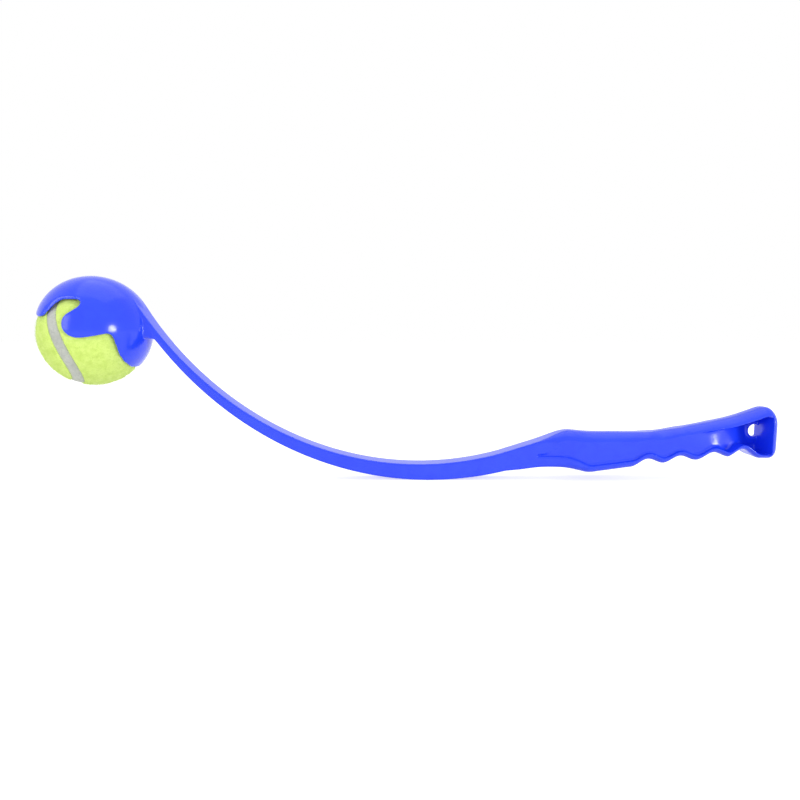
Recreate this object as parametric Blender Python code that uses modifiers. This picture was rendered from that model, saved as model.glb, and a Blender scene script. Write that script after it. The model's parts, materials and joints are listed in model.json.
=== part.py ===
# Dog ball thrower: a one-piece moulded launcher (cup, springy arm and grip) and its tennis ball.
# Run with: blender --background --python part.py
# Metres, +Z up, +X along the thrower from cup to grip, +Y across it. The throwing plane is y = 0.
import math

import bmesh
import bpy
from mathutils import Matrix, Vector
from mathutils.geometry import interpolate_bezier

for leftover in list(bpy.data.objects):
    bpy.data.objects.remove(leftover, do_unlink=True)

# Driving dimensions: the ball and the cup that grips it
BALL_RADIUS = 0.032
CUP_GAP = 0.0003
CUP_WALL = 0.0015
EXIT_ANGLE = math.radians(27.5)
BALL_DROP = 0.0032
CUP_RADIUS = BALL_RADIUS + CUP_GAP + CUP_WALL

# Driving dimensions: the arm
ARM_SPAN = 0.233
ARM_WIDTH = 0.014
ARM_TIP_THICKNESS = 0.0034
ARM_GRIP_THICKNESS = 0.0119
ARM_EDGE_RADIUS = 0.0008
ARM_ROOT_WIDENING = 0.0012
ARM_ROOT_SPAN = 0.024
ARM_ROOT_RISE = 0.006

# Driving dimensions: the grip
GRIP_LENGTH = 0.1735
GRIP_HEIGHT = 0.0225
GRIP_WIDTH = 0.022
GRIP_TOP_RADIUS = 0.0098
GRIP_LOW_RADIUS = 0.0045
GRIP_WALL = 0.0025
BUTT_ROUNDING = 0.0055
BUTT_TOP_ROUNDING = 0.010
BUTT_WALL = 0.0045
GROOVE_DEPTH = 0.0037
GROOVE_HALF_WIDTH = 0.0105
POCKET_DEPTH = 0.0032
POCKET_HIGH_DEPTH = 0.0010
POCKET_NOSE_DEPTH = 0.0018
POCKET_NOSE_HEIGHT = 0.0006
HOLE_RADIUS = 0.0041
BOSS_RIM = 0.0017
BOSS_HEIGHT = 0.0022

# Driving dimensions: the inside of the ball
CORE_WALL = 0.0035
FELT_THICKNESS = 0.0027
PIECE_GAP = 0.0003
SEAM_WIDTH = 0.0072
SEAM_RECESS = 0.0005

# How far a cutter runs past what it cuts, and how close two points are when they become one
OVERRUN = 0.01
MERGE_DISTANCE = 0.00001

# The cup's lower edge seen from the side, in shares of the cup's radius: the front claw's lip, the
# bay behind it, the middle tongue, and the rear lobe under the arm. Corner cutting smooths it.
CUP_EDGE_SHARES = (
    (-1.35, 0.38), (-0.88, 0.36), (-0.73, 0.235), (-0.55, 0.23), (-0.47, 0.355), (-0.34, 0.473),
    (-0.20, 0.558), (0.01, 0.563), (0.17, 0.54), (0.186, 0.42), (0.065, 0.328), (-0.06, 0.25),
    (-0.115, 0.12), (-0.08, -0.02), (0.05, -0.13), (0.225, -0.14), (0.455, -0.095), (0.62, -0.05),
    (0.672, -0.17), (0.68, -0.45), (0.712, -0.72), (0.715, -1.35), (-1.35, -1.35),
)

# The arm's centreline: its start in shares of the cup's radius, then the other three points of
# one Bezier curve, from that start, in shares of the arm's span.
ARM_START_SHARES = (0.772, 0.535)
ARM_CURVE_SHARES = ((0.193, -0.335), (0.588, -0.545), (1.0, -0.438))

# The grip seen from the side, from the end of the arm's centreline: distance along in shares of
# the grip's length, then top and bottom in shares of its height.
GRIP_PROFILE_SHARES = (
    (0.066, 0.440, -0.214), (0.138, 0.620, -0.146), (0.210, 0.846, -0.144), (0.242, 0.900, -0.171),
    (0.277, 0.881, -0.229), (0.311, 0.858, -0.282), (0.352, 0.849, -0.249), (0.421, 0.849, -0.177),
    (0.460, 0.845, -0.136), (0.541, 0.858, -0.056), (0.617, 0.930, 0.009), (0.698, 1.040, 0.064),
    (0.772, 1.155, 0.125), (0.847, 1.285, 0.160), (0.922, 1.475, 0.128), (1.000, 1.710, 0.118),
)

# The finger grooves: middle in shares of the grip's length, depth in shares of GROOVE_DEPTH
GROOVE_SHARES = ((0.528, 1.0), (0.647, 0.95), (0.769, 1.0), (0.877, 1.35))

# Where the grip widens from the arm's width to its own, in shares of its length
GRIP_WIDENING_SHARES = (0.12, 0.27)

# The hollow in the grip's near side. Each row gives a distance along in shares of the grip's
# length, then the walls left above and below in shares of its height. It starts at a nose, opens
# up and down behind it, is shallow above and deeper below, and runs down a ramp, which starts
# sooner above than below, to its full depth near the butt.
POCKET_MARGIN_SHARES = (
    (0.1245, 0.22, 0.22), (0.46, 0.20, 0.215), (0.62, 0.17, 0.185), (0.79, 0.25, 0.17),
    (0.90, 0.27, 0.165), (1.0, 0.27, 0.11),
)
POCKET_NOSE_SHARES = (0.1245, 0.20)
POCKET_UPPER_SHARES = (0.0, 0.115)
POCKET_LOWER_SHARES = (0.08, 0.21)
POCKET_DEEPER_SHARES = (0.02, 0.20)
POCKET_HIGH_RAMP_SHARES = (0.64, 0.93)
POCKET_LOW_RAMP_SHARES = (0.73, 0.95)
HOLE_SHARES = (0.9625, 0.822)

# The web in the corner between the cup's back and the arm, level by level, in shares of the cup's
# radius: height, then how far back it reaches. Then where it starts, and its half width there.
WEB_LEVEL_SHARES = ((-0.135, 1.145), (-0.03, 1.08), (0.08, 1.018), (0.18, 0.96), (0.28, 0.90))
WEB_ROOT_SHARES = (0.70, 0.235)

# How finely round shapes are stepped
ROUND_SIDES = 48
BALL_RINGS = 24
CORNER_STEPS = 4
CORE_SIDES = 32
CORE_RINGS = 16
ARM_STATIONS = 40
STATION_PITCH = 0.0023
SEAM_STEPS = 96
CORNER_CUTS = 3


def new_collection(name):
    """Make a collection in the scene."""
    collection = bpy.data.collections.new(name)
    bpy.context.scene.collection.children.link(collection)
    return collection


PARTS = new_collection("dog_ball_thrower")
CUTTERS = new_collection("cutters")


def material(name, colour, roughness):
    """Make a plain Principled material."""
    made = bpy.data.materials.new(name)
    made.use_nodes = True
    shader = made.node_tree.nodes["Principled BSDF"]
    shader.inputs["Base Color"].default_value = (*colour, 1.0)
    shader.inputs["Roughness"].default_value = roughness
    shader.inputs["Metallic"].default_value = 0.0
    return made


def place(name, mesh, collection, parent=None, finish=None):
    """Make an object of a mesh, smooth where it is round."""
    mesh.shade_smooth()
    mesh.set_sharp_from_angle(angle=math.radians(35.0))
    made = bpy.data.objects.new(name, mesh)
    collection.objects.link(made)
    made.parent = parent
    if finish:
        mesh.materials.append(finish)
    if collection is CUTTERS:
        made.hide_render = True
        made.display_type = "WIRE"
    return made


def mesh_from(bm, name):
    """Turn a bmesh into a mesh whose faces point out."""
    bmesh.ops.recalc_face_normals(bm, faces=bm.faces)
    mesh = bpy.data.meshes.new(name)
    bm.to_mesh(mesh)
    bm.free()
    return mesh


def loft(name, rings):
    """Skin a row of rings that have the same number of points, and close both ends."""
    bm = bmesh.new()
    loops = [[bm.verts.new(point) for point in ring] for ring in rings]
    for near, far in zip(loops, loops[1:]):
        for index in range(len(near)):
            after = (index + 1) % len(near)
            bm.faces.new((near[index], near[after], far[after], far[index]))
    bm.faces.new(loops[0])
    bm.faces.new(loops[-1])
    return mesh_from(bm, name)


def sphere(name, radius):
    """Make a sphere about the origin."""
    bm = bmesh.new()
    bmesh.ops.create_uvsphere(bm, u_segments=ROUND_SIDES, v_segments=BALL_RINGS, radius=radius)
    return mesh_from(bm, name)


def cylinder(name, radius, depth, wall=None):
    """Make a cylinder along Z about the origin, cut off flat at a wall across X if there is one."""
    bm = bmesh.new()
    bmesh.ops.create_cone(
        bm, cap_ends=True, segments=ROUND_SIDES, radius1=radius, radius2=radius, depth=depth
    )
    if wall is not None:
        bmesh.ops.bisect_plane(
            bm, geom=bm.verts[:] + bm.edges[:] + bm.faces[:], clear_outer=True,
            plane_co=(wall, 0.0, 0.0), plane_no=(1.0, 0.0, 0.0),
        )
        bmesh.ops.holes_fill(bm, edges=bm.edges, sides=0)
    return mesh_from(bm, name)


def boolean(target, operation, other, solver="EXACT"):
    """Join another object to this one, or cut it away."""
    modifier = target.modifiers.new(f"{operation.lower()} {other.name}", "BOOLEAN")
    modifier.operation = operation
    modifier.object = other
    modifier.solver = solver


def evaluated_mesh(source, name):
    """Return the mesh that an object's modifiers make."""
    graph = bpy.context.evaluated_depsgraph_get()
    graph.update()
    mesh = bpy.data.meshes.new_from_object(source.evaluated_get(graph))
    mesh.name = name
    return mesh


def smoothstep(low, high, value):
    """Rise smoothly from 0 at low to 1 at high."""
    share = min(max((value - low) / (high - low), 0.0), 1.0)
    return share * share * (3.0 - 2.0 * share)


def corner_cut(points, cuts):
    """Round an open polyline by cutting its corners, and keep both ends."""
    for _ in range(cuts):
        rounded = [points[0]]
        for start, end in zip(points, points[1:]):
            rounded.append(start.lerp(end, 0.25))
            rounded.append(start.lerp(end, 0.75))
        points = rounded + [points[-1]]
    return points


def rounded_section(half_width, half_height, radii):
    """Return a rounded rectangle as (across, up) pairs, with radii for its top and its bottom."""
    pairs = []
    for quarter, (side, level) in enumerate(((1, 1), (-1, 1), (-1, -1), (1, -1))):
        radius = min(radii[quarter // 2], half_width * 0.95, half_height * 0.95)
        for step in range(CORNER_STEPS + 1):
            angle = (quarter + step / CORNER_STEPS) * math.pi / 2.0
            across = side * (half_width - radius) + radius * math.cos(angle)
            up = level * (half_height - radius) + radius * math.sin(angle)
            pairs.append((across, up))
    return pairs


def ease_in(low, high, value):
    """Rise from 0 at low to 1 at high, slowly at first and then steeper and steeper."""
    return min(max((value - low) / (high - low), 0.0), 1.0) ** 2


def table_value(rows, column, share):
    """Read a smooth curve through one column of a table at a share of the first column."""
    last = len(rows) - 1
    index = 0
    while index < last - 1 and rows[index + 1][0] < share:
        index += 1
    start, end = rows[index], rows[index + 1]
    before, after = rows[max(index - 1, 0)], rows[min(index + 2, last)]
    span = end[0] - start[0]
    start_slope = (end[column] - before[column]) / (end[0] - before[0])
    end_slope = (after[column] - start[column]) / (after[0] - start[0])
    t = (share - start[0]) / span
    rise = end[column] - start[column]
    blend = start[column] + rise * t * t * (3.0 - 2.0 * t)
    blend += span * start_slope * t * (1.0 - t) * (1.0 - t)
    return blend - span * end_slope * t * t * (1.0 - t)


# Places that several pieces share

EXIT = Vector((-math.sin(EXIT_ANGLE), 0.0, -math.cos(EXIT_ANGLE)))
BALL_CENTRE = EXIT * BALL_DROP
ARM_START = Vector((ARM_START_SHARES[0] * CUP_RADIUS, 0.0, ARM_START_SHARES[1] * CUP_RADIUS))
ARM_POINTS = [ARM_START] + [
    ARM_START + Vector((along, 0.0, up)) * ARM_SPAN for along, up in ARM_CURVE_SHARES
]
ARM_END = ARM_POINTS[-1]


def grip_outline(along):
    """Return the grip's top, bottom, half width and edge radii at a distance along it."""
    share = along / GRIP_LENGTH
    top = ARM_END.z + table_value(GRIP_PROFILE_SHARES, 1, share) * GRIP_HEIGHT
    bottom = ARM_END.z + table_value(GRIP_PROFILE_SHARES, 2, share) * GRIP_HEIGHT
    lift = 0.0
    for centre, depth in GROOVE_SHARES:
        off = abs(along - centre * GRIP_LENGTH) / GROOVE_HALF_WIDTH
        if off < 1.0:
            lift = max(lift, depth * math.cos(off * math.pi / 2.0) ** 1.9)
    bottom += lift * GROOVE_DEPTH
    widening = smoothstep(*GRIP_WIDENING_SHARES, share)
    half_width = (ARM_WIDTH + (GRIP_WIDTH - ARM_WIDTH) * widening) / 2.0
    radii = [
        ARM_EDGE_RADIUS + (radius - ARM_EDGE_RADIUS) * widening
        for radius in (GRIP_TOP_RADIUS, GRIP_LOW_RADIUS)
    ]
    return top, bottom, half_width, radii


def grip_stations(start, end):
    """Return distances along the grip, evenly spaced."""
    count = math.ceil((end - start) / STATION_PITCH)
    return [start + (end - start) * step / count for step in range(count + 1)]


# The launcher: a hollow sphere, the arm and the grip, moulded in one

def arm_half_width(along):
    """Return half the arm's width at a distance along it. It fans out where it leaves the cup."""
    fan = max(1.0 - along / ARM_ROOT_SPAN, 0.0) ** 2
    return ARM_WIDTH / 2.0 + ARM_ROOT_WIDENING * fan * smoothstep(0.0, ARM_ROOT_RISE, along)


def arm_rings():
    """Return the sections across the arm, from inside the cup's wall to the grip."""
    points = interpolate_bezier(*ARM_POINTS, ARM_STATIONS)
    lengths = [0.0]
    for before, after in zip(points, points[1:]):
        lengths.append(lengths[-1] + (after - before).length)
    rings = []
    for index, centre in enumerate(points):
        ahead = points[min(index + 1, len(points) - 1)] - points[max(index - 1, 0)]
        up = Vector((-ahead.z, 0.0, ahead.x)).normalized()
        taper = lengths[index] / lengths[-1]
        thickness = ARM_TIP_THICKNESS + (ARM_GRIP_THICKNESS - ARM_TIP_THICKNESS) * taper
        half_width = arm_half_width(lengths[index])
        section = rounded_section(half_width, thickness / 2.0, (ARM_EDGE_RADIUS, ARM_EDGE_RADIUS))
        rings.append([centre + up * level + Vector((0.0, -side, 0.0)) for side, level in section])
    return rings


def end_inset(along, rounding):
    """Return how far the grip's rounded end is drawn in at a distance along it."""
    past = max(along - (GRIP_LENGTH - rounding), 0.0)
    return rounding - math.sqrt(max(rounding ** 2 - past ** 2, 0.0))


def grip_rings():
    """Return the upright sections of the grip, drawn in at its rounded butt."""
    first = GRIP_PROFILE_SHARES[0][0] * GRIP_LENGTH
    butt_start = GRIP_LENGTH - BUTT_ROUNDING
    stations = grip_stations(first, butt_start)
    for step in range(1, CORNER_STEPS + 2):
        turn = step / (CORNER_STEPS + 2) * math.pi / 2.0
        stations.append(butt_start + BUTT_ROUNDING * math.sin(turn))
    stations.append(GRIP_LENGTH)
    rings = []
    for along in stations:
        top, bottom, half_width, radii = grip_outline(along)
        inset = end_inset(along, BUTT_ROUNDING)
        top -= end_inset(along, BUTT_TOP_ROUNDING)
        bottom += inset
        section = rounded_section(half_width - inset, (top - bottom) / 2.0, radii)
        centre = Vector((ARM_END.x + along, 0.0, (top + bottom) / 2.0))
        rings.append([centre + Vector((0.0, -side, level)) for side, level in section])
    return rings


def web_rings():
    """Return the flat levels of the web between the cup's back and the arm."""
    foot, spread = (share * CUP_RADIUS for share in WEB_ROOT_SHARES)
    rings = []
    for height_share, reach_share in WEB_LEVEL_SHARES:
        height = height_share * CUP_RADIUS
        reach = reach_share * CUP_RADIUS
        back = math.sqrt(CUP_RADIUS ** 2 - spread ** 2 - height ** 2)
        outline = ((foot, -spread), (back, -spread), (reach, -ARM_WIDTH / 2.0))
        mirrored = tuple((x, -y) for x, y in reversed(outline))
        rings.append([Vector((x, y, height)) for x, y in outline + mirrored])
    return rings


def pocket_rings():
    """Return the sections of the hollow that opens on the grip's near side."""
    nose_share, nose_level_share = POCKET_NOSE_SHARES
    nose_level = ARM_END.z + nose_level_share * GRIP_HEIGHT
    rings = []
    for along in grip_stations(nose_share * GRIP_LENGTH, GRIP_LENGTH - BUTT_WALL):
        share = along / GRIP_LENGTH
        past_nose = share - nose_share
        top, bottom, half_width, _ = grip_outline(along)
        top -= end_inset(along, BUTT_TOP_ROUNDING)
        top -= table_value(POCKET_MARGIN_SHARES, 1, share) * GRIP_HEIGHT
        bottom += table_value(POCKET_MARGIN_SHARES, 2, share) * GRIP_HEIGHT
        rise = smoothstep(*POCKET_UPPER_SHARES, past_nose)
        fall = smoothstep(*POCKET_LOWER_SHARES, past_nose)
        ceiling = nose_level + (top - nose_level) * rise + POCKET_NOSE_HEIGHT
        floor = nose_level + (bottom - nose_level) * fall - POCKET_NOSE_HEIGHT
        full_depth = 2.0 * half_width - GRIP_WALL
        deeper = smoothstep(*POCKET_DEEPER_SHARES, past_nose)
        low_depth = POCKET_NOSE_DEPTH + (POCKET_DEPTH - POCKET_NOSE_DEPTH) * deeper
        low_depth += (full_depth - low_depth) * ease_in(*POCKET_LOW_RAMP_SHARES, share)
        high_depth = POCKET_HIGH_DEPTH
        high_depth += (full_depth - high_depth) * ease_in(*POCKET_HIGH_RAMP_SHARES, share)
        near = -half_width - OVERRUN
        corners = (
            (near, floor), (low_depth - half_width, floor), (high_depth - half_width, ceiling),
            (near, ceiling),
        )
        rings.append([Vector((ARM_END.x + along, y, z)) for y, z in corners])
    return rings


def cup_edge_rings():
    """Return the cup's edge outline at both ends of the cutter that trims the cup."""
    points = [Vector((x, 0.0, z)) * CUP_RADIUS for x, z in CUP_EDGE_SHARES[:-2]]
    outline = corner_cut(points, CORNER_CUTS)
    outline += [Vector((x, 0.0, z)) * CUP_RADIUS for x, z in CUP_EDGE_SHARES[-2:]]
    reach = Vector((0.0, CUP_RADIUS + OVERRUN, 0.0))
    return [[point - reach for point in outline], [point + reach for point in outline]]


def build_launcher(frame, finish):
    """Make the cup, arm and grip as one moulding."""
    launcher = place("launcher_moulding", sphere("cup", CUP_RADIUS), PARTS, frame, finish)
    arm = place("arm_and_grip", loft("arm_and_grip", arm_rings() + grip_rings()), CUTTERS, frame)
    web = place("web", loft("web", web_rings()), CUTTERS, frame)

    inner_radius = CUP_RADIUS - CUP_WALL
    cavity = place("cup_cavity", sphere("cup_cavity", inner_radius), CUTTERS, frame)
    mouth_length = 2.0 * CUP_RADIUS
    mouth = place("cup_mouth", cylinder("cup_mouth", inner_radius, mouth_length), CUTTERS, frame)
    turn = Vector((0.0, 0.0, 1.0)).rotation_difference(EXIT)
    mouth.rotation_euler = turn.to_euler()
    mouth.location = EXIT * (mouth_length / 2.0)
    edge = place("cup_edge", loft("cup_edge", cup_edge_rings()), CUTTERS, frame)
    pocket = place("grip_pocket", loft("grip_pocket", pocket_rings()), CUTTERS, frame)

    hole_at = Vector((
        ARM_END.x + HOLE_SHARES[0] * GRIP_LENGTH, 0.0, ARM_END.z + HOLE_SHARES[1] * GRIP_HEIGHT
    ))
    floor = GRIP_WIDTH / 2.0 - GRIP_WALL
    boss_depth = BOSS_HEIGHT + GRIP_WALL / 2.0
    boss_mesh = cylinder("hole_boss", HOLE_RADIUS + BOSS_RIM, boss_depth)
    boss = place("hole_boss", boss_mesh, CUTTERS, frame)
    boss.rotation_euler.x = math.pi / 2.0
    boss.location = hole_at + Vector((0.0, floor - BOSS_HEIGHT + boss_depth / 2.0, 0.0))
    hole_depth = BOSS_HEIGHT + PIECE_GAP + GRIP_WALL + OVERRUN
    end_wall = ARM_END.x + GRIP_LENGTH - BUTT_WALL - hole_at.x
    hole_mesh = cylinder("hanging_hole", HOLE_RADIUS, hole_depth, end_wall)
    hole = place("hanging_hole", hole_mesh, CUTTERS, frame)
    hole.rotation_euler.x = math.pi / 2.0
    hole_middle = floor - BOSS_HEIGHT - PIECE_GAP + hole_depth / 2.0
    hole.location = hole_at + Vector((0.0, hole_middle, 0.0))

    boolean(launcher, "UNION", arm)
    boolean(launcher, "UNION", web)
    boolean(launcher, "DIFFERENCE", cavity)
    boolean(launcher, "DIFFERENCE", mouth)
    boolean(launcher, "DIFFERENCE", edge, "MANIFOLD")
    boolean(launcher, "DIFFERENCE", pocket)
    boolean(launcher, "UNION", boss)
    boolean(launcher, "DIFFERENCE", hole)


# The ball: two rubber half shells, two dumbbell felt panels and the cement in the seam

SEAM_BEND_SHARE = 0.207
SEAM_TURN = (
    Matrix.Rotation(math.radians(66.8), 4, "Z") @ Matrix.Rotation(math.radians(-26.8), 4, "X")
    @ Matrix.Rotation(math.radians(8.0), 4, "Z")
)


def seam_direction(turn):
    """Return the direction from the ball's centre to its seam, for a turn of 0 to 2 pi."""
    wide = 1.0 - SEAM_BEND_SHARE
    x = wide * math.cos(turn) + SEAM_BEND_SHARE * math.cos(3.0 * turn)
    y = wide * math.sin(turn) - SEAM_BEND_SHARE * math.sin(3.0 * turn)
    z = 2.0 * math.sqrt(wide * SEAM_BEND_SHARE) * math.sin(2.0 * turn)
    return (SEAM_TURN @ Vector((x, y, z))).normalized()


def seam_band(name, inner, outer, width):
    """Make a closed band that follows the seam, between two radii."""
    half = width / 2.0
    rings = []
    for step in range(SEAM_STEPS):
        turn = 2.0 * math.pi * step / SEAM_STEPS
        ahead = seam_direction(turn + math.pi / SEAM_STEPS)
        behind = seam_direction(turn - math.pi / SEAM_STEPS)
        out = seam_direction(turn)
        side = out.cross(ahead - behind).normalized()
        corners = ((inner, -half), (outer, -half), (outer, half), (inner, half))
        rings.append([out * math.sqrt(r * r - half * half) + side * s for r, s in corners])
    bm = bmesh.new()
    loops = [[bm.verts.new(point) for point in ring] for ring in rings]
    for near, far in zip(loops, loops[1:] + loops[:1]):
        for index in range(4):
            after = (index + 1) % 4
            bm.faces.new((near[index], near[after], far[after], far[index]))
    return mesh_from(bm, name)


def split_islands(mesh, names):
    """Split a mesh into its separate bodies."""
    source = bmesh.new()
    source.from_mesh(mesh)
    waiting = set(source.verts)
    bodies = []
    while waiting:
        body = set()
        edge_of_body = [waiting.pop()]
        while edge_of_body:
            vert = edge_of_body.pop()
            body.add(vert.index)
            for edge in vert.link_edges:
                other = edge.other_vert(vert)
                if other in waiting:
                    waiting.remove(other)
                    edge_of_body.append(other)
        bodies.append(body)
    source.free()
    bodies.sort(key=min)
    meshes = []
    for name, body in zip(names, bodies):
        bm = bmesh.new()
        bm.from_mesh(mesh)
        bm.verts.ensure_lookup_table()
        bmesh.ops.delete(bm, geom=[v for v in bm.verts if v.index not in body], context="VERTS")
        meshes.append(mesh_from(bm, name))
    return meshes


def half_shell(name, outer, inner, gap):
    """Make a hemispherical shell that opens downwards, half a gap above the origin."""
    profile = bmesh.new()
    arc = []
    quarter = CORE_RINGS // 2
    for radius, steps in ((outer, range(quarter + 1)), (inner, range(quarter, -1, -1))):
        lowest = math.acos(gap / 2.0 / radius)
        for step in steps:
            polar = lowest * step / quarter
            across = radius * math.sin(polar)
            arc.append(profile.verts.new((across, 0.0, radius * math.cos(polar))))
    for start, end in zip(arc, arc[1:]):
        profile.edges.new((start, end))
    mesh = bpy.data.meshes.new(name)
    profile.to_mesh(mesh)
    profile.free()
    return mesh


def screw(target):
    """Turn a profile a full circle about Z."""
    modifier = target.modifiers.new("turn", "SCREW")
    modifier.steps = CORE_SIDES
    modifier.render_steps = CORE_SIDES
    modifier.use_merge_vertices = True
    modifier.merge_threshold = MERGE_DISTANCE
    modifier.use_smooth_shade = True


def build_ball(ball, rubber, felt, cement):
    """Make the ball's five pieces about the ball's centre."""
    felt_inner = BALL_RADIUS - FELT_THICKNESS
    core_outer = felt_inner - PIECE_GAP
    core_inner = core_outer - CORE_WALL

    core_mesh = half_shell("ball_core_half", core_outer, core_inner, PIECE_GAP)
    for name, tilt in (("ball_core_half_a", 0.0), ("ball_core_half_b", math.pi)):
        half = place(name, core_mesh, PARTS, ball)
        screw(half)
        half.rotation_euler.x = tilt
    core_mesh.materials.append(rubber)

    shell = place("felt_shell", sphere("felt_shell", BALL_RADIUS), CUTTERS, ball)
    hollow = place("felt_hollow", sphere("felt_hollow", felt_inner), CUTTERS, ball)
    cut_mesh = seam_band("seam_cut", core_inner, BALL_RADIUS + FELT_THICKNESS, SEAM_WIDTH)
    cut = place("seam_cut", cut_mesh, CUTTERS, ball)
    boolean(shell, "DIFFERENCE", hollow)
    boolean(shell, "DIFFERENCE", cut)
    panels = split_islands(
        evaluated_mesh(shell, "felt_panels"), ("ball_felt_panel_a", "ball_felt_panel_b")
    )
    for mesh in panels:
        place(mesh.name, mesh, PARTS, ball, felt)

    band = seam_band(
        "ball_seam_cement", felt_inner, BALL_RADIUS - SEAM_RECESS, SEAM_WIDTH - 2.0 * PIECE_GAP
    )
    place("ball_seam_cement", band, PARTS, ball, cement)


def stand_on_ground(frame):
    """Move everything so that the origin is the middle of the underside of its bounding box."""
    bpy.context.view_layer.update()
    graph = bpy.context.evaluated_depsgraph_get()
    corners = []
    for part in PARTS.objects:
        solid = part.evaluated_get(graph)
        corners += [part.matrix_world @ vert.co for vert in solid.data.vertices]
    low = [min(corner[axis] for corner in corners) for axis in range(3)]
    high = [max(corner[axis] for corner in corners) for axis in range(3)]
    frame.location = (-(low[0] + high[0]) / 2.0, -(low[1] + high[1]) / 2.0, -low[2])


def main():
    """Build the whole thrower."""
    blue = material("blue_plastic", (0.05, 0.09, 0.95), 0.2)
    rubber = material("ball_rubber", (0.10, 0.10, 0.09), 0.7)
    felt = material("yellow_felt", (0.68, 0.90, 0.17), 0.95)
    cement = material("seam_cement", (0.58, 0.60, 0.52), 0.8)

    frame = bpy.data.objects.new("cup_centre", None)
    CUTTERS.objects.link(frame)
    ball = bpy.data.objects.new("ball_centre", None)
    CUTTERS.objects.link(ball)
    ball.parent = frame
    ball.location = BALL_CENTRE

    build_launcher(frame, blue)
    build_ball(ball, rubber, felt, cement)
    stand_on_ground(frame)


main()
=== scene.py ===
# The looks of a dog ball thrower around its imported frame: one blue moulding with a clawed cup, a
# curved arm and a finger-grooved grip, and the yellow tennis ball in its cup. Metres, +Z up.
import json
import math
import random

import bmesh
import bpy
from mathutils import Matrix, Vector, noise
from mathutils.geometry import interpolate_bezier


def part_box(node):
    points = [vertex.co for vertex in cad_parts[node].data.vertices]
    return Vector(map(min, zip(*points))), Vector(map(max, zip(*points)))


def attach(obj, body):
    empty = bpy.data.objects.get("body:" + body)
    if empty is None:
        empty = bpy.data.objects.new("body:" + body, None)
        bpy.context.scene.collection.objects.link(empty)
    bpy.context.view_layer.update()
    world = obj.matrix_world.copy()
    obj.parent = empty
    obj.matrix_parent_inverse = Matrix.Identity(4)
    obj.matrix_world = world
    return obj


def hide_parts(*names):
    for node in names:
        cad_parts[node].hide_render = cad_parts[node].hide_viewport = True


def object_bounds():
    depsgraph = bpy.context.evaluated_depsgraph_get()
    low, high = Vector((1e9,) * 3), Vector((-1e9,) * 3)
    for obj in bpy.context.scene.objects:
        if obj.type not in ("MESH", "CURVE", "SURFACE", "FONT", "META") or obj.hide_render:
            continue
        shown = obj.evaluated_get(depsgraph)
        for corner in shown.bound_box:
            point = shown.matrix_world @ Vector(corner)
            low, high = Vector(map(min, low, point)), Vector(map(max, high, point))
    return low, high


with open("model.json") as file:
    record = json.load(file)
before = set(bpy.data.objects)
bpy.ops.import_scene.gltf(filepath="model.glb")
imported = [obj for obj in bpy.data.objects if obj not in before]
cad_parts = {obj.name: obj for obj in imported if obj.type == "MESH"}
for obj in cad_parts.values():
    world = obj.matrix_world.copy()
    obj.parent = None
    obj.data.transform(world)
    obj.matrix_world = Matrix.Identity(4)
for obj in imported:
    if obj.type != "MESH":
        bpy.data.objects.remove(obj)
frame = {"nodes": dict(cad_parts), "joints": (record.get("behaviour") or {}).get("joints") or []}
cad_low, cad_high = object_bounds()


# The picture: the photograph was taken from just above the thrower, level with the cup, with a
# short lens. It shows the thrower cut out on white, so the sweep behind it is white as well.

CAMERA_DISTANCE = 0.386
CAMERA_ELEVATION = math.radians(6.3)
CAMERA_LENS = 27.0
CAMERA_AIM = Vector((-0.0066, 0.0, 0.0510))
CAMERA_CLIP_SHARE = 0.05

camera = bpy.data.objects.new("camera", bpy.data.cameras.new("camera"))
camera.data.lens = CAMERA_LENS
camera.data.clip_start = CAMERA_DISTANCE * CAMERA_CLIP_SHARE
camera_way = Vector((0.0, -math.cos(CAMERA_ELEVATION), math.sin(CAMERA_ELEVATION)))
camera.location = CAMERA_AIM + camera_way * CAMERA_DISTANCE
camera.rotation_euler = (math.pi / 2.0 - CAMERA_ELEVATION, 0.0, 0.0)
bpy.context.scene.collection.objects.link(camera)
bpy.context.scene.camera = camera
bpy.context.scene.view_settings.view_transform = "Standard"


# The sweep: a matt white floor and a white world. The camera, gloss and glass see both as plain
# white. On the thrower the world shines more weakly, and the lamps give the rest of the light.

WHITE = (1.0, 1.0, 1.0, 1.0)
WORLD_LIGHT = 0.80
FLOOR_GLOW = 0.62
FLOOR_WHITE = 0.80
FLOOR_SIZE = 12.0


def node_maker(tree):
    """Return a function that adds a node to a tree and sets its inputs and its properties."""
    def add(kind, inputs=None, **properties):
        node = tree.nodes.new(kind)
        for key, value in properties.items():
            setattr(node, key, value)
        for key, value in (inputs or {}).items():
            if isinstance(value, bpy.types.NodeSocket):
                tree.links.new(value, node.inputs[key])
            else:
                node.inputs[key].default_value = value
        return node
    return add


def new_material(name):
    """Return a new material, its node maker and its Principled shader."""
    made = bpy.data.materials.new(name)
    made.use_nodes = True
    tree = made.node_tree
    return made, node_maker(tree), tree.nodes["Principled BSDF"]


def white_mask(add):
    """Return a mask that is 1 for what the camera, gloss and glass see, and 0 for other light."""
    path = add("ShaderNodeLightPath").outputs
    mask = path["Is Camera Ray"]
    for ray in ("Is Glossy Ray", "Is Transmission Ray"):
        mask = add("ShaderNodeMath", {0: mask, 1: path[ray]}, operation="MAXIMUM").outputs[0]
    return mask


world = bpy.data.worlds.new("studio")
world.use_nodes = True
bpy.context.scene.world = world
add = node_maker(world.node_tree)
strength = add("ShaderNodeMapRange", {"Value": white_mask(add), "To Min": WORLD_LIGHT, "To Max": 1.0})
background = world.node_tree.nodes["Background"]
background.inputs["Color"].default_value = WHITE
world.node_tree.links.new(strength.outputs["Result"], background.inputs["Strength"])

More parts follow.
